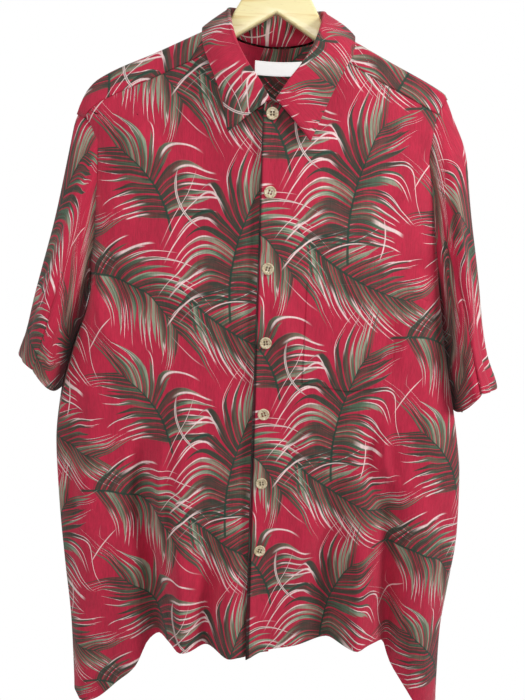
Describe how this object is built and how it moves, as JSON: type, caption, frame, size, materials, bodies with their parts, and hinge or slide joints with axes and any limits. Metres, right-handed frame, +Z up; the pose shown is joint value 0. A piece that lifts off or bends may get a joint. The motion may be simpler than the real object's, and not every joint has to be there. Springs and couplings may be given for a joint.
{
  "type": "hawaiian shirt on a hanger",
  "caption": "Short-sleeved dark red rayon shirt with a palm-frond print, seven buttons, open camp collar and chest pocket, on a wooden hanger",
  "frame": {"origin": "inside top of the hook's bend, where a rail holds the hanger", "axes": "+Z up, +X to the viewer's right when the buttoned front is seen, +Y from the front to the back"},
  "size_m": [0.6405, 0.1626, 1.0656],
  "materials": {
    "printed_cloth": "matte",
    "label_cloth": "satin",
    "hanger_wood": "satin",
    "hook_steel": "polished",
    "button": "satin"
  },
  "bodies": {
    "root": {"front_right": "printed_cloth", "front_left": "printed_cloth", "back": "printed_cloth", "yoke": "printed_cloth", "sleeve_right": "printed_cloth", "sleeve_left": "printed_cloth", "collar": "printed_cloth", "pocket": "printed_cloth", "neck_label": "label_cloth", "size_tab": "label_cloth", "hanger_body": "hanger_wood", "hanger_hook": "hook_steel", "button_1": "button", "button_2": "button", "button_3": "button", "button_4": "button", "button_5": "button", "button_6": "button", "button_7": "button"}
  },
  "joints": []
}
